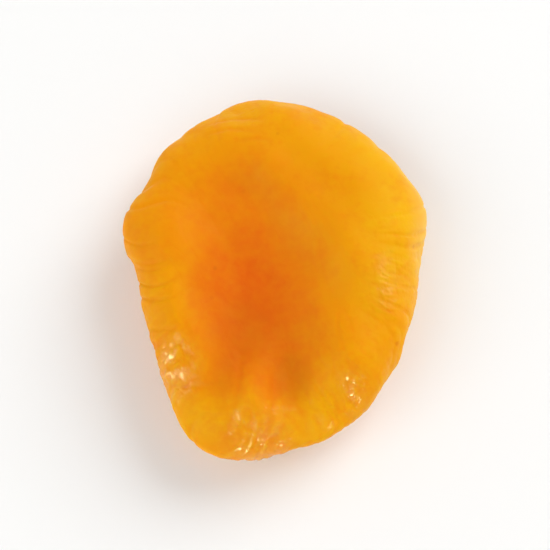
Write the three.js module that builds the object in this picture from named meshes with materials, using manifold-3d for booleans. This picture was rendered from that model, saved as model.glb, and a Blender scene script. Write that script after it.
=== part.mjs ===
// A whole dried apricot with its stone pressed out, lying on its broad side. Millimetres, +Z up.
// +Y points to the tip of the fruit and -Y to the stem end, where the stone came out.
import * as THREE from "three";
import { mergeVertices } from "three/addons/utils/BufferGeometryUtils.js";
import Module from "manifold-3d";

// Driving dimensions
const MESH_DETAIL = 23; // cuts along each edge of the starting icosahedron
const EVEN_SPREAD = 0.12; // pulls vertices from the shoulders towards the middle of the faces
// Half widths of the rim, every 15 degrees from +X
const RIM_RADII = [
  15.2, 16.4, 17.9, 18.3, 18.9, 19.3, 20.0, 19.8, 19.1, 17.8, 17.0, 17.0,
  14.8, 14.6, 14.9, 16.6, 18.6, 20.3, 18.9, 17.8, 17.1, 16.6, 15.5, 14.9,
];
const UPPER = { rise: 5.3, fullness: 4.2 }; // half thickness, and how flat the face is before it rounds off
const LOWER = { rise: 5.1, fullness: 2.8 };
const FLAT_SPOT_DEPTH = 0.15; // how much of the lowest point is pressed flat by lying
const WARP = { saddle: 0.8, saddleTurn: 0.7, wave: 0.5, waveTurn: 2.1 }; // the rim's rise and fall

// Broad forms of a face: centre, half length, half width, turn of the length from +Y towards -X in
// degrees, and height, which is below zero where the flesh has sunk.
const UPPER_FORMS = [
  { x: -1.2, y: -2.8, long: 10.4, wide: 6.2, turn: 22, height: -3.0, block: 1.15 }, // hollow left by the stone
  { x: -5.6, y: -1.6, long: 7.0, wide: 2.6, turn: 12, height: -0.45, block: 1.0 }, // foot of the left roll
  { x: 1.9, y: -12.2, long: 4.2, wide: 2.5, turn: 4, height: -1.25, block: 1.0 }, // valley to the stem end
  { x: -5.0, y: -11.2, long: 3.1, wide: 2.0, turn: -20, height: -0.85, block: 1.0 }, // short valley beside it
  { x: -1.9, y: -12.6, long: 3.4, wide: 1.6, turn: -6, height: 0.6, block: 1.0 }, // finger between the two
  { x: -1.2, y: -17.2, long: 2.3, wide: 7.5, turn: 6, height: 0.8, block: 1.0 }, // roll along the stem end
  { x: -3.7, y: 8.4, long: 2.2, wide: 3.2, turn: 0, height: -0.6, block: 1.0 }, // small dimple
  { x: -11.0, y: -0.8, long: 11.0, wide: 3.6, turn: 8, height: 0.9, block: 1.0 }, // left roll
  { x: 10.2, y: 3.6, long: 11.0, wide: 5.5, turn: -8, height: 0.8, block: 1.0 }, // right swelling
  { x: 1.6, y: 14.2, long: 3.8, wide: 8.5, turn: 0, height: 0.4, block: 1.0 }, // swelling at the tip
  { x: 7.4, y: -10.4, long: 4.6, wide: 4.2, turn: 30, height: 0.6, block: 1.0 }, // right of the valley
  { x: -8.2, y: -13.4, long: 3.6, wide: 3.2, turn: 0, height: 0.5, block: 1.0 }, // left of the valleys
];
const LOWER_FORMS = [
  { x: 0.2, y: 1.0, long: 8.0, wide: 7.0, turn: 0, height: 0.35, block: 1.0 }, // belly that it lies on
  { x: 8.4, y: 7.0, long: 6.5, wide: 2.6, turn: -38, height: -0.9, block: 1.0 }, // slack fold
  { x: -8.6, y: 7.6, long: 5.0, wide: 2.4, turn: 50, height: -0.8, block: 1.0 }, // slack fold
  { x: 4.6, y: -12.6, long: 4.6, wide: 2.4, turn: 15, height: -0.8, block: 1.0 }, // valley to the stem end
];

// The mouth that the stone left through, closed to a groove between two lips, and the seam that
// runs on from it round the left side to the tip. Angles are in degrees from +X.
const MOUTH = { middle: 268, halfSpan: 36, height: -0.7, depth: 1.7, width: 0.75 };
const LIPS = { rise: 0.8, away: 2.0, width: 1.3, lowerSetBack: 1.5 };
const SEAM = { from: 96, to: 262, fade: 22, depth: 0.9, width: 0.85 };
const SEAM_WANDER = 0.5; // how far the groove strays up and down

// Puckers are creases across the rim. They run where the sum of these waves round the fruit is near
// zero, and fade in on the way from the middle of a face, 0, to the rim, 1.
const PUCKER_WAVES = [
  { turns: 5, size: 0.7, phase: 0.4 },
  { turns: 11, size: 1.0, phase: 2.2 },
  { turns: 19, size: 0.8, phase: 4.9 },
  { turns: 26, size: 0.5, phase: 1.3 },
];
const PUCKER = { upperDepth: 0.26, lowerDepth: 0.42, width: 0.75, fadeFrom: 0.55, fadeTo: 0.92 };
const PUCKER_BEND = 0.12; // how far a pucker strays round the fruit as it runs, in radians
const PUCKER_SLANT = 0.025; // how far it leans to either side, in radians a millimetre up
const PUCKER_AT_RIM = 0.45; // what is left of a pucker's depth on the outermost line

const SWELL = 0.22; // height of the soft unevenness all over
const SWELL_CALM = { radius: 8.0, left: 0.1 }; // the underside's middle, pressed even by lying

const toRadians = THREE.MathUtils.degToRad;
const { smoothstep } = THREE.MathUtils;

// A value given at equal steps round the fruit, read at any angle on one smooth closed curve.
function ringValue(values, angle) {
  const count = values.length;
  const place = (((angle / (2 * Math.PI)) % 1) + 1) * count;
  const start = Math.floor(place);
  const t = place - start;
  const [before, here, next, after] = [-1, 0, 1, 2].map((k) => values[(start + k + count) % count]);
  const slopeHere = (next - before) / 2;
  const slopeNext = (after - here) / 2;
  const turnOff = 2 * (here - next) + slopeHere + slopeNext;
  return here + t * (slopeHere + t * (3 * (next - here) - 2 * slopeHere - slopeNext + t * turnOff));
}

// How far round angle is from middle, in degrees, from -180 to 180.
function degreesFrom(middle, angle) {
  return ((((THREE.MathUtils.radToDeg(angle) - middle) % 360) + 540) % 360) - 180;
}

function formHeight(form, x, y) {
  const turn = toRadians(form.turn);
  const along = (y - form.y) * Math.cos(turn) - (x - form.x) * Math.sin(turn);
  const across = (x - form.x) * Math.cos(turn) + (y - form.y) * Math.sin(turn);
  const away = (along / form.long) ** 2 + (across / form.wide) ** 2;
  return form.height * Math.exp(-(away ** form.block));
}

// Soft unevenness: slow waves in three directions that never line up.
function swell(p) {
  const a = Math.sin(0.42 * p.x + 0.17 * p.y + 0.9) * Math.sin(0.37 * p.y - 0.5 * p.z + 0.3);
  const b = Math.sin(0.61 * p.y - 0.33 * p.x + 0.4 * p.z + 2.0);
  const c = Math.sin(0.83 * p.x + 0.71 * p.y - 0.6 * p.z + 4.1);
  const calm = p.z < 0 ? Math.exp(-(p.x ** 2 + p.y ** 2) / SWELL_CALM.radius ** 2) : 0;
  return SWELL * (a + 0.55 * b + 0.45 * c) * (1 - (1 - SWELL_CALM.left) * calm);
}

// Creases across the rim. They bend as they run, and come and go in patches.
function puckerDepth(p, angle, share, outwardZ) {
  const bend = PUCKER_BEND * Math.sin(0.31 * p.x + 0.23 * p.y + 0.45 * p.z + 0.4);
  const turned = angle + bend + PUCKER_SLANT * p.z * Math.sin(2 * angle + 1.0);
  let sum = 0;
  for (const wave of PUCKER_WAVES) sum += wave.size * Math.sin(wave.turns * turned + wave.phase);
  const crease = Math.max(0, 1 - Math.abs(sum) / PUCKER.width) ** 1.5;
  const patch = 0.6 + 0.4 * Math.sin(3 * angle + 0.9) * Math.sin(5 * angle + 0.4);
  const shoulder = PUCKER_AT_RIM + (1 - PUCKER_AT_RIM) * smoothstep(Math.abs(outwardZ), 0, 0.5);
  const depth = p.z >= 0 ? PUCKER.upperDepth : PUCKER.lowerDepth;
  return depth * crease * patch * shoulder * smoothstep(share, PUCKER.fadeFrom, PUCKER.fadeTo);
}

// 1 at the middle of the mouth, 0 beyond its corners.
function mouthOpening(angle) {
  return Math.exp(-((degreesFrom(MOUTH.middle, angle) / MOUTH.halfSpan) ** 4));
}

function grooveHeight(p, angle) {
  const stray = SEAM_WANDER * (Math.sin(3 * angle + 1.1) + 0.5 * Math.sin(7 * angle + 0.2));
  const open = mouthOpening(angle);
  const above = p.z - stray - open * MOUTH.height;
  const mouth = -MOUTH.depth * open * Math.exp(-((above / MOUTH.width) ** 2));
  const lips = LIPS.rise * open * Math.exp(-(((Math.abs(above) - LIPS.away) / LIPS.width) ** 2));
  const middle = (SEAM.from + SEAM.to) / 2;
  const half = (SEAM.to - SEAM.from) / 2;
  const reach = 1 - smoothstep(Math.abs(degreesFrom(middle, angle)), half - SEAM.fade, half);
  const seam = -SEAM.depth * reach * Math.exp(-((above / SEAM.width) ** 2));
  return mouth + lips + seam;
}

// The skin's place along a direction from the middle of the fruit.
function skinPoint(direction) {
  const angle = Math.atan2(direction.y, direction.x);
  const tilt = Math.acos(THREE.MathUtils.clamp(direction.z, -1, 1));
  const share = Math.sin(tilt - EVEN_SPREAD * Math.sin(2 * tilt));
  const half = direction.z >= 0 ? UPPER : LOWER;
  const radius = ringValue(RIM_RADII, angle);
  const height = half.rise * Math.sqrt(Math.max(0, 1 - share ** half.fullness));
  const point = new THREE.Vector3(
    radius * share * Math.cos(angle),
    radius * share * Math.sin(angle),
    direction.z >= 0 ? height : -height,
  );
  const lean = (half.fullness * share ** (half.fullness - 1)) / radius;
  const outward = new THREE.Vector3(
    lean * Math.cos(angle),
    lean * Math.sin(angle),
    (2 * point.z) / half.rise ** 2,
  ).normalize();

  const faces = [
    [UPPER_FORMS, smoothstep(outward.z, 0.05, 0.75)],
    [LOWER_FORMS, smoothstep(-outward.z, 0.05, 0.75)],
  ];
  let raised = swell(point) + grooveHeight(point, angle);
  for (const [forms, weight] of faces)
    for (const form of forms) raised += weight * formHeight(form, point.x, point.y);
  raised -= puckerDepth(point, angle, share, outward.z);

  const warp =
    WARP.saddle * Math.cos(2 * angle + WARP.saddleTurn) + WARP.wave * Math.cos(3 * angle + WARP.waveTurn);
  const setBack = LIPS.lowerSetBack * mouthOpening(angle) * smoothstep(-point.z, 0, 3) * share ** 2;
  point.x -= setBack * Math.cos(angle);
  point.y -= setBack * Math.sin(angle);
  point.z += warp * share ** 4;
  return point.addScaledVector(outward, raised);
}

// The whole skin as one closed mesh, before the flat spot is pressed into it.
function skinGeometry() {
  const geometry = new THREE.IcosahedronGeometry(1, MESH_DETAIL);
  geometry.deleteAttribute("normal");
  geometry.deleteAttribute("uv");
  const closed = mergeVertices(geometry, 1e-4);
  const places = closed.attributes.position;
  const direction = new THREE.Vector3();
  for (let i = 0; i < places.count; i++) {
    const point = skinPoint(direction.fromBufferAttribute(places, i).normalize());
    places.setXYZ(i, point.x, point.y, point.z);
  }
  return closed;
}

function toSolid(wasm, geometry) {
  const mesh = new wasm.Mesh({
    numProp: 3,
    vertProperties: geometry.attributes.position.array,
    triVerts: new Uint32Array(geometry.index.array),
  });
  return new wasm.Manifold(mesh);
}

function toGeometry(solid) {
  const { vertProperties, triVerts } = solid.getMesh();
  const geometry = new THREE.BufferGeometry();
  geometry.setAttribute("position", new THREE.BufferAttribute(vertProperties, 3));
  geometry.setIndex(new THREE.BufferAttribute(triVerts, 1));
  geometry.computeVertexNormals();
  return geometry;
}

// Cuts the lowest FLAT_SPOT_DEPTH off level, and stands what is left on z = 0 over the origin.
function restOnFlatSpot(wasm, skin) {
  skin.computeBoundingBox();
  const floor = skin.boundingBox.min.z + FLAT_SPOT_DEPTH;
  const side = 100;
  const below = new THREE.BoxGeometry(side, side, side);
  below.deleteAttribute("normal");
  below.deleteAttribute("uv");
  below.translate(0, 0, floor - side / 2);
  const rested = toGeometry(toSolid(wasm, skin).subtract(toSolid(wasm, mergeVertices(below, 1e-4))));
  rested.computeBoundingBox();
  const middle = rested.boundingBox.getCenter(new THREE.Vector3());
  return rested.translate(-middle.x, -middle.y, -floor);
}

const wasm = await Module();
wasm.setup();

const flesh = new THREE.MeshStandardMaterial({ color: 0xec8f10, roughness: 0.42, metalness: 0 });
const apricot = new THREE.Mesh(restOnFlatSpot(wasm, skinGeometry()), flesh);
apricot.name = "apricot";

const fruit = new THREE.Group();
fruit.add(apricot);

export default fruit;
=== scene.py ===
# A whole dried apricot: its creased skin, its moist amber flesh, and a plain pale studio.
import math

import bpy
import numpy as np
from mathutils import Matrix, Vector, noise


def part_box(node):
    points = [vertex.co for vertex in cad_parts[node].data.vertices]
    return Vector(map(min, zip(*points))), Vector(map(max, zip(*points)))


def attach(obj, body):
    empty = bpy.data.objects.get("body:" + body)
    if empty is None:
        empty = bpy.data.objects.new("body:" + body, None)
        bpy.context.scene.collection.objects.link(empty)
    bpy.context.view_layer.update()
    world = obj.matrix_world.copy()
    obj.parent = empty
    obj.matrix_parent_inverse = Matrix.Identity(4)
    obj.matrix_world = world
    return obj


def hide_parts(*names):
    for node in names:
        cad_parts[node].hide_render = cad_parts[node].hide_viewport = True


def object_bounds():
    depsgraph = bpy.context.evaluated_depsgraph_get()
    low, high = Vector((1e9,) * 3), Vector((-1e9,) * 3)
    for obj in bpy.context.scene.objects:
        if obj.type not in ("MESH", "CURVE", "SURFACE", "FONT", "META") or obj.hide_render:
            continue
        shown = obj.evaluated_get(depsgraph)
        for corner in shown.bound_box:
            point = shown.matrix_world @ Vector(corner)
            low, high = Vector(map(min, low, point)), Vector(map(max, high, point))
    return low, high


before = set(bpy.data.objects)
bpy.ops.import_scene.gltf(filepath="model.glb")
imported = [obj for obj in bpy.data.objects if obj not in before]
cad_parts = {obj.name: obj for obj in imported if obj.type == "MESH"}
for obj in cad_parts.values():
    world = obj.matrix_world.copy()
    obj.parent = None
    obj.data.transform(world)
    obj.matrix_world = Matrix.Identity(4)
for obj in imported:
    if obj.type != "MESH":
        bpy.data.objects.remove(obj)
cad_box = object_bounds()

MM = 0.001

# The fruit's own form, in millimetres, as its solid has it
EVEN_SPREAD = 0.12
RIM_RADII = [15.2, 16.4, 17.9, 18.3, 18.9, 19.3, 20.0, 19.8, 19.1, 17.8, 17.0, 17.0]
RIM_RADII += [14.8, 14.6, 14.9, 16.6, 18.6, 20.3, 18.9, 17.8, 17.1, 16.6, 15.5, 14.9]
UPPER = {"rise": 5.3, "fullness": 4.2}
LOWER = {"rise": 5.1, "fullness": 2.8}
FLAT_SPOT_DEPTH = 0.15
WARP = {"saddle": 0.8, "saddle_turn": 0.7, "wave": 0.5, "wave_turn": 2.1}

# Broad forms of a face: centre x and y, half length, half width, turn in degrees, height, blockiness
UPPER_FORMS = {
    "hollow": (-1.2, -2.8, 10.4, 6.2, 22, -3.0, 1.15),
    "roll_foot": (-5.6, -1.6, 7.0, 2.6, 12, -0.45, 1.0),
    "valley": (1.9, -12.2, 4.2, 2.5, 4, -1.25, 1.0),
    "short_valley": (-5.0, -11.2, 3.1, 2.0, -20, -0.85, 1.0),
    "finger": (-1.9, -12.6, 3.4, 1.6, -6, 0.6, 1.0),
    "end_roll": (-1.2, -17.2, 2.3, 7.5, 6, 0.8, 1.0),
    "dimple": (-3.7, 8.4, 2.2, 3.2, 0, -0.6, 1.0),
    "left_roll": (-11.0, -0.8, 11.0, 3.6, 8, 0.9, 1.0),
    "right_swelling": (10.2, 3.6, 11.0, 5.5, -8, 0.8, 1.0),
    "tip_swelling": (1.6, 14.2, 3.8, 8.5, 0, 0.4, 1.0),
    "right_of_valley": (7.4, -10.4, 4.6, 4.2, 30, 0.6, 1.0),
    "left_of_valleys": (-8.2, -13.4, 3.6, 3.2, 0, 0.5, 1.0),
}
LOWER_FORMS = {
    "belly": (0.2, 1.0, 8.0, 7.0, 0, 0.35, 1.0),
    "right_fold": (8.4, 7.0, 6.5, 2.6, -38, -0.9, 1.0),
    "left_fold": (-8.6, 7.6, 5.0, 2.4, 50, -0.8, 1.0),
    "valley": (4.6, -12.6, 4.6, 2.4, 15, -0.8, 1.0),
}
MOUTH = {"middle": 268, "half_span": 36, "height": -0.7, "depth": 1.7, "width": 0.75}
LIPS = {"rise": 0.8, "away": 2.0, "width": 1.3, "lower_set_back": 1.5}
SEAM = {"from": 96, "to": 262, "fade": 22, "depth": 0.9, "width": 0.85}
SEAM_WANDER = 0.5

# Creases across the rim run where this sum of waves round the fruit is near zero: turns, size, phase
PUCKER_WAVES = [(5, 0.7, 0.4), (11, 1.0, 2.2), (19, 0.8, 4.9), (26, 0.5, 1.3)]
PUCKER = {
    "upper": 0.26,
    "lower": 0.42,
    "width": 0.75,
    "fade_from": 0.55,
    "fade_to": 0.92,
    "bend": 0.12,
    "slant": 0.025,
    "at_rim": 0.45,
}
SWELL = 0.22
SWELL_CALM = {"radius": 8.0, "left": 0.1}  # the underside's middle, pressed even by lying

SKIN_CUTS = 92  # cuts along each edge of the icosahedron that the skin's mesh starts from

# Where the skin is most crinkled: x, y, reach, how much
CRINKLED_SPOTS = [
    (-10.6, -10.7, 4.4, 1.0),
    (-1.5, -18.6, 4.8, 1.0),
    (7.4, -14.5, 4.5, 0.7),
    (12.0, -2.5, 6.5, 0.64),
    (14.5, 6.0, 4.5, 0.12),
    (-2.5, 15.5, 4.0, 0.4),
]
# Short shallow arcs near the tip: x and y of the middle, half length, bow
TIP_ARCS = [(-4.0, 16.4, 2.9, 0.05), (-4.6, 14.9, 2.4, 0.06), (-2.2, 13.6, 1.8, 0.05)]
ARC_WIDTH = 0.28
# The finger's two sides, where the skin folds into the valleys: x, y, half length, half width, turn
FINGER_SIDES = (-1.9, -12.3, 2.6, 1.8, -5)
FINGER_FOLD_WIDTH = 0.34
# How deep each kind of crease runs, in millimetres
DEPTHS = {
    "coarse": 0.12,
    "narrow": 0.09,
    "cells": 0.08,
    "even_cells": 0.035,
    "small_cells": 0.07,
    "slack": 0.045,
    "arcs": 0.09,
    "sides": 0.13,
}
FULL_CREASE = 0.16  # the depth at which a crease has its full painted shade
LUMP_HEIGHT = 0.14
DOME_DROP = 0.14  # how far a small dome falls from its middle, at one cell's width from it
CELL_BORDER = 0.22  # how wide the border between two cells is, in cells

# Colours of the flesh, with painted shade and a painted highlight among them
AMBER = (0.82, 0.30, 0.001, 1)
GOLD = (0.84, 0.48, 0.002, 1)
EMBER = (0.76, 0.125, 0.004, 1)
CREASE_SHADE = (0.80, 0.19, 0.003, 1)
SHADE_OCHRE = (0.55, 0.15, 0.002, 1)
RIM_HIGHLIGHT_COLOUR = (0.88, 0.50, 0.10, 1)
FLECK = (0.62, 0.13, 0.004, 1)
# How much of a tint, or of painted shade or painted highlight, there is where its mask is 1
TINT_SHARES = {"inner": 0.3, "painted_shade": 0.45, "crease": 0.45, "rim_highlight": 0.8, "fleck": 0.4}

# Spots of colour are told as forms are, with a strength in place of the height.
# Where the flesh is deepest orange, partly its own colour and partly painted shade in the hollow, and how
# much more painted shade a millimetre of depth adds in three forms
DEEP_FLESH_AND_SHADE = (-2.5, -4.2, 11.0, 5.8, 4, 0.95, 1.3)
DEPTH_SHADED_FORMS = {"valley": 0.16, "short_valley": 0.12, "dimple": 0.3}
# Where it is yellowest, partly the flesh's own colour and partly painted light on the swellings and the
# finger that face the light; then a painted highlight along the right rim
GOLD_AND_LIT_SPOTS = [
    (13, 4.5, 9.5, 6.5, 0, 1.0, 1.0),
    (-2.0, -13.2, 2.6, 1.5, -6, 0.55, 1.2),
    (-1.5, -17.5, 3.4, 9.0, 0, 0.6, 1.0),
    (-10.5, -10.5, 5.0, 3.0, 12, 0.15, 1.0),
]
# A painted highlight: a pale band along the right rim, where a grazing sheen from the light falls
RIM_HIGHLIGHT_SPOT = (16.5, 6.0, 6.8, 5.0, -10, 1.0, 1.0)
# Painted shade, darker and duller: the hollow's lower end and the two valleys
PAINTED_SHADE_SPOTS = [
    (-2.5, -7.0, 4.4, 4.3, 0, 0.8, 1.4),
    (1.7, -11.9, 2.9, 1.9, 4, 0.75, 2.2),
    (-5.2, -11.8, 2.4, 1.3, -8, 0.35, 1.6),
]

# What is the same all over the skin
SKIN_VALUES = {
    "Subsurface Weight": 0.55,
    "Subsurface Radius": (1.0, 0.34, 0.05),
    "Subsurface Scale": 2.4 * MM,
    "Specular IOR Level": 0.11,
    "Specular Tint": (1.0, 0.78, 0.35, 1),
    "Coat Roughness": 0.1,
}
FILM_WEIGHT = 0.75  # of the moist film, where it is thickest

# Small warm lamps that show only as sparks where the skin is moist and crinkled: place and watts
SPARKS = {
    "left_low": ((-1.42, -0.36, 0.30), 7.5),
    "left_mid": ((-1.20, -0.50, 0.72), 7.0),
    "left_high": ((-0.98, -0.22, 1.08), 4.5),
    "left_front": ((-0.80, -0.98, 0.92), 3.5),
    "front": ((-0.05, -1.34, 0.66), 8.0),
    "front_low": ((-0.15, -1.46, 0.28), 8.0),
    "front_right": ((0.66, -1.16, 0.70), 2.2),
    "right": ((1.12, 0.10, 0.88), 1.5),
}
SPARK_SIZE = 0.22
SPARK_COLOUR = (1.0, 0.95, 0.5)
# The white surroundings: strength by how steeply upwards one looks
SKY = {"From Min": 0.1, "From Max": 0.6, "To Min": 0.93, "To Max": 0.40}

CAMERA_ELEVATION = 72
FRAME_HEIGHT = 58 * MM
LENS = 100
SENSOR = 36


def smoothstep(x, low, high):
    t = np.clip((x - low) / (high - low), 0, 1)
    return t * t * (3 - 2 * t)


def ring_value(values, angle):
    """A value given at equal steps round the fruit, read at any angle on one smooth closed curve."""
    values = np.array(values, float)
    count = len(values)
    place = (angle / (2 * math.pi)) % 1 * count
    start = np.floor(place).astype(int)
    t = place - start
    before, here, after, beyond = (values[(start + k) % count] for k in (-1, 0, 1, 2))
    slope_here = (after - before) / 2
    slope_after = (beyond - here) / 2
    turn_off = 2 * (here - after) + slope_here + slope_after
    return here + t * (slope_here + t * (3 * (after - here) - 2 * slope_here - slope_after + t * turn_off))


def degrees_from(middle, angle):
    """How far round angle is from middle, in degrees, from -180 to 180."""
    return (np.degrees(angle) - middle + 540) % 360 - 180


def along_and_across(x, y, x0, y0, turn):
    """Places told from (x0, y0) along and across a line turned from +Y towards -X, in degrees."""
    turn = math.radians(turn)
    along = (y - y0) * math.cos(turn) - (x - x0) * math.sin(turn)
    across = (x - x0) * math.cos(turn) + (y - y0) * math.sin(turn)
    return along, across


def form_height(form, x, y):
    x0, y0, long, wide, turn, height, block = form
    along, across = along_and_across(x, y, x0, y0, turn)
    away = (along / long) ** 2 + (across / wide) ** 2
    return height * np.exp(-(away**block))


def swell(x, y, z):
    a = np.sin(0.42 * x + 0.17 * y + 0.9) * np.sin(0.37 * y - 0.5 * z + 0.3)
    b = np.sin(0.61 * y - 0.33 * x + 0.4 * z + 2.0)
    c = np.sin(0.83 * x + 0.71 * y - 0.6 * z + 4.1)
    calm = np.where(z < 0, np.exp(-((x**2 + y**2) / SWELL_CALM["radius"] ** 2)), 0)
    return SWELL * (a + 0.55 * b + 0.45 * c) * (1 - (1 - SWELL_CALM["left"]) * calm)


def pucker_depth(x, y, z, angle, share, outward_z):
    turned = angle + PUCKER["bend"] * np.sin(0.31 * x + 0.23 * y + 0.45 * z + 0.4)
    turned += PUCKER["slant"] * z * np.sin(2 * angle + 1.0)
    wave = sum(size * np.sin(turns * turned + phase) for turns, size, phase in PUCKER_WAVES)
    crease = np.clip(1 - np.abs(wave) / PUCKER["width"], 0, 1) ** 1.5
    patch = 0.6 + 0.4 * np.sin(3 * angle + 0.9) * np.sin(5 * angle + 0.4)
    depth = np.where(z >= 0, PUCKER["upper"], PUCKER["lower"])
    shoulder = PUCKER["at_rim"] + (1 - PUCKER["at_rim"]) * smoothstep(np.abs(outward_z), 0, 0.5)
    return depth * crease * patch * shoulder * smoothstep(share, PUCKER["fade_from"], PUCKER["fade_to"])


def mouth_opening(angle):
    return np.exp(-((degrees_from(MOUTH["middle"], angle) / MOUTH["half_span"]) ** 4))


def groove_height(z, angle):
    stray = SEAM_WANDER * (np.sin(3 * angle + 1.1) + 0.5 * np.sin(7 * angle + 0.2))
    opened = mouth_opening(angle)
    above = z - stray - opened * MOUTH["height"]
    mouth = -MOUTH["depth"] * opened * np.exp(-((above / MOUTH["width"]) ** 2))
    lips = LIPS["rise"] * opened * np.exp(-(((np.abs(above) - LIPS["away"]) / LIPS["width"]) ** 2))
    middle = (SEAM["from"] + SEAM["to"]) / 2
    half = (SEAM["to"] - SEAM["from"]) / 2
    reach = 1 - smoothstep(np.abs(degrees_from(middle, angle)), half - SEAM["fade"], half)
    seam = -SEAM["depth"] * reach * np.exp(-((above / SEAM["width"]) ** 2))
    return mouth + lips + seam


def even_sphere(cuts):
    """Directions and triangles of an icosahedron with each edge cut into that many parts."""
    golden = (1 + math.sqrt(5)) / 2
    corners = [(-1, golden, 0), (1, golden, 0), (-1, -golden, 0), (1, -golden, 0)]
    corners += [(0, -1, golden), (0, 1, golden), (0, -1, -golden), (0, 1, -golden)]
    corners += [(golden, 0, -1), (golden, 0, 1), (-golden, 0, -1), (-golden, 0, 1)]
    fans = [(0, 11, 5), (0, 5, 1), (0, 1, 7), (0, 7, 10), (0, 10, 11), (1, 5, 9), (5, 11, 4)]
    fans += [(11, 10, 2), (10, 7, 6), (7, 1, 8), (3, 9, 4), (3, 4, 2), (3, 2, 6), (3, 6, 8)]
    fans += [(3, 8, 9), (4, 9, 5), (2, 4, 11), (6, 2, 10), (8, 6, 7), (9, 8, 1)]
    corners = np.array(corners, float)
    rows = [(i, j) for i in range(cuts + 1) for j in range(cuts + 1 - i)]
    place = {row: k for k, row in enumerate(rows)}
    steps = np.array(rows, float) / cuts
    local = []
    for i in range(cuts):
        for j in range(cuts - i):
            local.append((place[i, j], place[i + 1, j], place[i, j + 1]))
            if i + j < cuts - 1:
                local.append((place[i + 1, j], place[i + 1, j + 1], place[i, j + 1]))
    local = np.array(local)
    points, faces = [], []
    for a, b, c in fans:
        faces.append(local + len(rows) * len(points))
        to_b, to_c = corners[b] - corners[a], corners[c] - corners[a]
        points.append(corners[a] + steps[:, :1] * to_b + steps[:, 1:] * to_c)
    points = np.concatenate(points)
    _, kept, merged = np.unique(np.round(points, 6), axis=0, return_index=True, return_inverse=True)
    directions = points[kept]
    directions /= np.linalg.norm(directions, axis=1, keepdims=True)
    return directions, merged.reshape(-1)[np.concatenate(faces)]


def broad_skin(directions):
    """The fruit's skin as its solid has it, with what the finer work needs to know about each point."""
    angle = np.arctan2(directions[:, 1], directions[:, 0])
    tilt = np.arccos(np.clip(directions[:, 2], -1, 1))
    share = np.sin(tilt - EVEN_SPREAD * np.sin(2 * tilt))
    upper = directions[:, 2] >= 0
    rise = np.where(upper, UPPER["rise"], LOWER["rise"])
    fullness = np.where(upper, UPPER["fullness"], LOWER["fullness"])
    radius = ring_value(RIM_RADII, angle)
    height = rise * np.sqrt(np.clip(1 - share**fullness, 0, None)) * np.where(upper, 1, -1)
    x, y, z = radius * share * np.cos(angle), radius * share * np.sin(angle), height
    lean = fullness * share ** (fullness - 1) / radius
    outward = np.stack([lean * np.cos(angle), lean * np.sin(angle), 2 * z / rise**2], axis=1)
    outward /= np.linalg.norm(outward, axis=1, keepdims=True)
    up = smoothstep(outward[:, 2], 0.05, 0.75)
    down = smoothstep(-outward[:, 2], 0.05, 0.75)
    raised = swell(x, y, z) + groove_height(z, angle)
    raised += up * sum(form_height(f, x, y) for f in UPPER_FORMS.values())
    raised += down * sum(form_height(f, x, y) for f in LOWER_FORMS.values())
    raised -= pucker_depth(x, y, z, angle, share, outward[:, 2])
    set_back = LIPS["lower_set_back"] * mouth_opening(angle) * smoothstep(-z, 0, 3.0) * share**2
    warp = WARP["saddle"] * np.cos(2 * angle + WARP["saddle_turn"])
    warp += WARP["wave"] * np.cos(3 * angle + WARP["wave_turn"])
    inner = radius * share - set_back
    points = np.stack([inner * np.cos(angle), inner * np.sin(angle), z + warp * share**4], axis=1)
    points += outward * raised[:, None]
    return points, {"angle": angle, "share": share, "up": up}


def normals_of(points, faces):
    a, b, c = (points[faces[:, k]] for k in range(3))
    flat = np.cross(b - a, c - a)
    total = np.zeros_like(points)
    for k in range(3):
        np.add.at(total, faces[:, k], flat)
    return total / np.linalg.norm(total, axis=1, keepdims=True)


def noise_at(places, octaves=1, gain=0.5):
    """Smooth noise from about -1 to 1 at each row of places."""
    total = np.zeros(len(places))
    for octave in range(octaves):
        scaled = places * 2**octave + 13.7 * octave
        total += gain**octave * np.array([noise.noise(p) for p in scaled])
    return total


def crease_of(value, width):
    """1 along the lines where value is 0, falling to 0 within width of them."""
    return np.clip(1 - np.abs(value) / width, 0, 1) ** 1.6


def cell_edges(places):
    """1 on the borders between irregular cells of about unit size, falling to 0 inside them."""
    nearest, second = np.array([noise.voronoi(p)[0][:2] for p in places]).T
    return np.exp(-(((second - nearest) / CELL_BORDER) ** 2))


def cell_domes(places):
    """How far down the side of its irregular dome each point lies, 0 at the dome's middle."""
    return np.array([noise.voronoi(p)[0][0] for p in places]) ** 2


def crinkle_at(points):
    near = sum(
        much * np.exp(-(((points[:, 0] - x) ** 2 + (points[:, 1] - y) ** 2) / reach**2))
        for x, y, reach, much in CRINKLED_SPOTS
    )
    upper = 0.14 + 0.86 * np.clip(near, 0, 1)
    return upper + (0.85 - upper) * smoothstep(-points[:, 2], -1.0, 2.0)


def slack_creases(points, bend):
    """Slack skin drawn in along the hollow's edge."""
    x0, y0, long, wide, turn, _, _ = UPPER_FORMS["hollow"]
    along, across = along_and_across(points[:, 0], points[:, 1], x0, y0, turn)
    drawn = np.stack([across * 0.62 + bend * 0.9, along * 0.12, np.full(len(points), 3.3)], axis=1)
    hollow_edge = np.exp(-(((np.hypot(along / long, across / wide) - 1.1) / 0.55) ** 2))
    return crease_of(noise_at(drawn), 0.16) * hollow_edge


def tip_arcs(points):
    arcs = 0
    for x, y, half, bow in TIP_ARCS:
        off = points[:, 1] - y + bow * (points[:, 0] - x) ** 2
        arcs = arcs + np.exp(-((off / ARC_WIDTH) ** 2) - ((points[:, 0] - x) / half) ** 4)
    return arcs


def finger_folds(points, bend):
    x0, y0, long, wide, turn = FINGER_SIDES
    along, across = along_and_across(points[:, 0], points[:, 1], x0, y0, turn)
    off = (np.abs(across + 0.25 * bend) - wide) / FINGER_FOLD_WIDTH
    return np.exp(-(off**2) - (along / long) ** 4)


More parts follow.
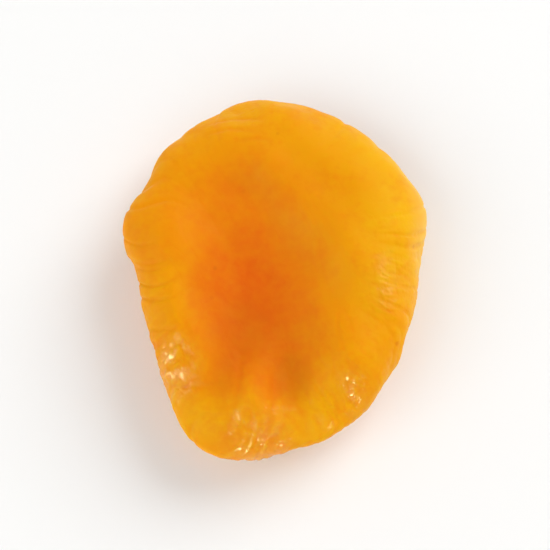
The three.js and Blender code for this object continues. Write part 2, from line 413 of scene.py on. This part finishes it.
def fine_height(points, facts):
    """The skin's finer work in millimetres, and how deep in a crease and how crinkled each point is."""
    angle, share, up = facts["angle"], facts["share"], facts["up"]
    bend = noise_at(points * 0.22)
    rim = smoothstep(share, 0.45, 0.95)
    crinkle = crinkle_at(points)

    # creases across the rim: long in the way from face to face, narrow round the fruit
    turned = angle + 0.10 * bend
    ring = np.stack([np.cos(turned) * 11, np.sin(turned) * 11, share * 2.4 + points[:, 2] * 0.2], axis=1)
    coarse = crease_of(noise_at(ring), 0.16) * smoothstep(noise_at(points * 0.16 + 5.1), -0.35, 0.25)
    ring = np.stack([np.cos(turned) * 22, np.sin(turned) * 22, share * 7.0 + points[:, 2] * 0.5], axis=1)
    narrow = crease_of(noise_at(ring), 0.2) * smoothstep(noise_at(points * 0.21 + 9.3), -0.3, 0.3)

    # crepe: a net of small puffed cells, drawn out across the rim
    drawn_out = np.stack([np.cos(turned) * 13, np.sin(turned) * 13, share * 9.0 + points[:, 2] * 0.5], axis=1)
    cells = cell_edges(drawn_out + 0.35 * bend[:, None]) * rim
    even_cells = cell_edges(points * 0.62 + 0.4 * bend[:, None]) * (1 - 0.7 * rim)
    small_cells = cell_edges(points * 1.05 + 0.5 * bend[:, None]) * smoothstep(crinkle, 0.45, 1.0)

    slack = slack_creases(points, bend) * up
    arcs = tip_arcs(points) * up
    domes = cell_domes(points * 1.15 + 0.3 * bend[:, None]) * smoothstep(crinkle, 0.45, 0.95) * up
    sides = finger_folds(points, bend) * up
    lumps = noise_at(points * 0.3 + 2.0, 2)

    creases = (DEPTHS["coarse"] * coarse + DEPTHS["narrow"] * narrow) * rim * crinkle
    creases += (
        (DEPTHS["cells"] * cells + DEPTHS["even_cells"] * even_cells) * crinkle
        + DEPTHS["small_cells"] * small_cells
        + DEPTHS["slack"] * slack
        + DEPTHS["arcs"] * arcs
    )
    creases += DEPTHS["sides"] * sides
    return LUMP_HEIGHT * lumps - creases - DOME_DROP * domes, creases / FULL_CREASE, crinkle


def build_skin():
    directions, faces = even_sphere(SKIN_CUTS)
    broad, facts = broad_skin(directions)
    fine, crease, crinkle = fine_height(broad, facts)
    points = broad + normals_of(broad, faces) * fine[:, None]

    low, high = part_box("apricot")
    middle = (broad.min(0) + broad.max(0)) / 2
    points[:, :2] += np.array([(low.x + high.x) / 2, (low.y + high.y) / 2]) / MM - middle[:2]
    points[:, 2] = np.maximum(points[:, 2] - broad[:, 2].min() - FLAT_SPOT_DEPTH, 0)

    mesh = bpy.data.meshes.new("dried_apricot")
    mesh.from_pydata((points * MM).tolist(), [], faces.tolist())
    mesh.shade_smooth()
    # deeper orange in the hollow: partly the flesh's own colour, partly painted shade that deepens in the
    # valleys and dimple
    sunken = form_height(DEEP_FLESH_AND_SHADE, broad[:, 0], broad[:, 1])
    for form, much in DEPTH_SHADED_FORMS.items():
        sunken = sunken - much * form_height(UPPER_FORMS[form], broad[:, 0], broad[:, 1])
    sunken = np.clip(sunken * facts["up"], 0, 1)
    # yellower flesh, partly painted light where the right swelling, the finger and the end roll face the
    # light
    gold_and_light = sum(form_height(spot, broad[:, 0], broad[:, 1]) for spot in GOLD_AND_LIT_SPOTS)
    # painted shade in the hollow's lower end and the valleys, on the upper face only
    painted_shade = sum(form_height(spot, broad[:, 0], broad[:, 1]) for spot in PAINTED_SHADE_SPOTS)
    painted_shade = np.clip(painted_shade * facts["up"], 0, 1)
    # painted highlight along the right rim, strongest at the very edge
    rim_highlight = form_height(RIM_HIGHLIGHT_SPOT, broad[:, 0], broad[:, 1]) * smoothstep(facts["share"], 0.84, 0.99)
    values_of = {
        "sunken": sunken,
        "crease": np.clip(crease, 0, 1),
        "crinkle": crinkle,
        "share": facts["share"],
        "gold_and_light": gold_and_light,
        "rim_highlight": rim_highlight,
        "painted_shade": painted_shade,
    }
    for name, values in values_of.items():
        attribute = mesh.attributes.new(name, "FLOAT", "POINT")
        attribute.data.foreach_set("value", values.astype(np.float32))
    skin = bpy.data.objects.new("dried_apricot", mesh)
    bpy.context.scene.collection.objects.link(skin)
    return skin


class Nodes:
    """A material's node tree, with short calls to add to it."""

    def __init__(self, name):
        self.material = bpy.data.materials.new(name)
        self.material.use_nodes = True
        self.tree = self.material.node_tree
        self.shader = self.tree.nodes["Principled BSDF"]

    def add(self, kind, inputs=(), **settings):
        node = self.tree.nodes.new(kind)
        for key, value in settings.items():
            setattr(node, key, value)
        for socket, value in dict(inputs).items():
            self.feed(node.inputs[socket], value)
        return node

    def feed(self, socket, value):
        if isinstance(value, bpy.types.NodeSocket):
            self.tree.links.new(value, socket)
        else:
            socket.default_value = value

    def attribute(self, name):
        return self.add("ShaderNodeAttribute", attribute_name=name).outputs["Fac"]

    def noise(self, scale, detail=2.0, roughness=0.5):
        place = self.add("ShaderNodeTexCoord").outputs["Object"]
        inputs = {"Vector": place, "Scale": scale, "Detail": detail, "Roughness": roughness}
        return self.add("ShaderNodeTexNoise", inputs).outputs["Fac"]

    def ramp(self, value, low, high, out_low=0.0, out_high=1.0):
        ends = {"From Min": low, "From Max": high, "To Min": out_low, "To Max": out_high}
        return self.add("ShaderNodeMapRange", {"Value": value, **ends}).outputs["Result"]

    def mix(self, share, a, b):
        node = self.add("ShaderNodeMix", data_type="RGBA")
        self.feed(node.inputs["Factor"], share)
        self.feed(node.inputs[6], a)
        self.feed(node.inputs[7], b)
        return node.outputs[2]

    def math(self, operation, a, b):
        node = self.add("ShaderNodeMath", operation=operation)
        self.feed(node.inputs[0], a)
        self.feed(node.inputs[1], b)
        return node.outputs[0]

    def times(self, a, b):
        return self.math("MULTIPLY", a, b)

    def plus(self, a, b):
        return self.math("ADD", a, b)


def skin_material():
    n = Nodes("dried_skin")
    sunken = n.attribute("sunken")
    share = n.attribute("share")
    mottle = n.plus(n.times(n.noise(260, 3, 0.55), 0.6), n.times(n.noise(900, 2, 0.6), 0.4))
    cloud = n.noise(90, 2, 0.5)

    # yellower where the gold mask is: partly the flesh's own colour, partly painted light
    paler = n.plus(n.times(n.attribute("gold_and_light"), 0.8), n.ramp(cloud, 0.35, 0.7, 0.0, 0.45))
    colour = n.mix(n.ramp(paler, 0.0, 1.0), AMBER, GOLD)
    colour = n.mix(n.times(n.ramp(share, 0.9, 0.35), TINT_SHARES["inner"]), colour, EMBER)
    # deeper orange where sunken: partly the flesh's own colour, partly painted shade in the hollow, with
    # random mottling
    depth = n.plus(n.ramp(sunken, 0.05, 1.05, 0.0, 0.95), n.ramp(mottle, 0.35, 0.65, -0.2, 0.2))
    colour = n.mix(n.ramp(depth, 0.0, 1.0), colour, EMBER)
    # painted shade: the hollow's lower end and the valleys dulled and darkened
    colour = n.mix(n.times(n.attribute("painted_shade"), TINT_SHARES["painted_shade"]), colour, SHADE_OCHRE)
    # painted shade: creases darkened to a deeper red-orange, deeper the deeper they run
    colour = n.mix(n.times(n.attribute("crease"), TINT_SHARES["crease"]), colour, CREASE_SHADE)
    # painted highlight: the right rim paled as if lit by a grazing sheen
    colour = n.mix(n.times(n.attribute("rim_highlight"), TINT_SHARES["rim_highlight"]), colour, RIM_HIGHLIGHT_COLOUR)

    place = n.add("ShaderNodeTexCoord").outputs["Object"]
    dots = n.add("ShaderNodeTexVoronoi", {"Vector": place, "Scale": 420, "Randomness": 1.0})
    few = n.ramp(n.noise(150, 2), 0.5, 0.62)
    flecks = n.times(n.ramp(dots.outputs["Distance"], 0.14, 0.06), few)
    colour = n.mix(n.times(flecks, TINT_SHARES["fleck"]), colour, FLECK)
    n.feed(n.shader.inputs["Base Color"], colour)

    rough = n.ramp(n.noise(700, 2), 0.3, 0.7, 0.42, 0.58)
    rough = n.plus(rough, n.times(sunken, 0.15))
    n.feed(n.shader.inputs["Roughness"], rough)
    for socket, value in SKIN_VALUES.items():
        n.shader.inputs[socket].default_value = value

    # a thin moist film in patches, most of it where the skin is crinkled
    moist = n.times(n.ramp(n.noise(330, 2), 0.38, 0.54), n.ramp(n.attribute("crinkle"), 0.55, 0.95))
    n.feed(n.shader.inputs["Coat Weight"], n.times(moist, FILM_WEIGHT))

    # a net of small cells, stronger where the skin is crinkled, and a finer grain
    stray = n.add("ShaderNodeTexNoise", {"Vector": place, "Scale": 420, "Detail": 2.0}).outputs["Color"]
    moved = n.add("ShaderNodeVectorMath", {0: stray, 1: (0.0011, 0.0011, 0.0011)}, operation="MULTIPLY")
    moved = n.add("ShaderNodeVectorMath", {0: place, 1: moved.outputs[0]}, operation="ADD").outputs[0]
    net = n.add("ShaderNodeTexVoronoi", {"Vector": moved, "Scale": 1250}, feature="DISTANCE_TO_EDGE")
    puffed = n.ramp(net.outputs["Distance"], 0.0, 0.3)
    crinkle = n.ramp(n.attribute("crinkle"), 0.1, 1.0, 0.25, 1.0)
    fine = n.plus(n.times(puffed, crinkle), n.times(n.noise(2600, 3, 0.6), 0.7))
    bump = n.add("ShaderNodeBump", {"Height": fine, "Strength": 0.35, "Distance": 0.09 * MM})
    n.feed(n.shader.inputs["Normal"], bump.outputs["Normal"])
    return n.material


def floor_material():
    n = Nodes("pale_floor")
    n.shader.inputs["Base Color"].default_value = (0.92, 0.92, 0.915, 1)
    n.shader.inputs["Roughness"].default_value = 0.7
    return n.material


def make_floor():
    mesh = bpy.data.meshes.new("floor")
    sides, reach, drop = 96, 1.7, -0.01 * MM
    turns = [2 * math.pi * k / sides for k in range(sides)]
    corners = [(reach * math.cos(t), reach * math.sin(t), drop) for t in turns]
    mesh.from_pydata(corners, [], [list(range(sides))])
    floor = bpy.data.objects.new("floor", mesh)
    floor.data.materials.append(floor_material())
    bpy.context.scene.collection.objects.link(floor)


def aim(thing, target):
    thing.rotation_mode = "QUATERNION"
    thing.rotation_quaternion = (Vector(target) - thing.location).to_track_quat("-Z", "Y")


def add_light(name, place, target, size, watts, colour=(1, 1, 1)):
    lamp = bpy.data.lights.new(name, "AREA")
    lamp.shape = "DISK"
    lamp.size = size
    lamp.energy = watts
    lamp.color = colour
    light = bpy.data.objects.new(name, lamp)
    light.location = place
    aim(light, target)
    bpy.context.scene.collection.objects.link(light)
    return light


def light_studio(middle):
    add_light("key", (0.95, 0.80, 1.02), middle, 1.3, 16.0)
    for name, (place, watts) in SPARKS.items():
        spark = add_light(name, place, middle, SPARK_SIZE, watts, SPARK_COLOUR)
        spark.visible_diffuse = False
    add_light("fill", (-1.08, -0.60, 1.14), middle, 1.4, 8.0)
    add_light("front_fill", (-0.10, -1.15, 1.15), middle, 1.0, 3.4)
    world = bpy.data.worlds.new("studio")
    world.use_nodes = True
    tree = world.node_tree
    place = tree.nodes.new("ShaderNodeTexCoord")
    parts = tree.nodes.new("ShaderNodeSeparateXYZ")
    ramp = tree.nodes.new("ShaderNodeMapRange")
    ramp.interpolation_type = "SMOOTHSTEP"
    for socket, value in SKY.items():
        ramp.inputs[socket].default_value = value
    tree.links.new(place.outputs["Generated"], parts.inputs[0])
    tree.links.new(parts.outputs["Z"], ramp.inputs["Value"])
    tree.nodes["Background"].inputs["Color"].default_value = (1, 1, 1, 1)
    tree.links.new(ramp.outputs["Result"], tree.nodes["Background"].inputs["Strength"])
    bpy.context.scene.world = world
    bpy.context.scene.view_settings.view_transform = "Standard"


def place_camera(middle):
    camera = bpy.data.cameras.new("camera")
    camera.lens = LENS
    camera.sensor_width = SENSOR
    camera.clip_start = 0.01
    camera.clip_end = 10
    seen = bpy.data.objects.new("camera", camera)
    away = FRAME_HEIGHT * LENS / SENSOR
    elevation = math.radians(CAMERA_ELEVATION)
    seen.location = middle + away * Vector((0, -math.cos(elevation), math.sin(elevation)))
    aim(seen, middle)
    bpy.context.scene.collection.objects.link(seen)
    bpy.context.scene.camera = seen


low, high = cad_box
middle = (low + high) / 2
place_camera(middle)
light_studio(middle)
make_floor()

skin = build_skin()
skin.data.materials.append(skin_material())
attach(skin, "root")
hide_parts("apricot")
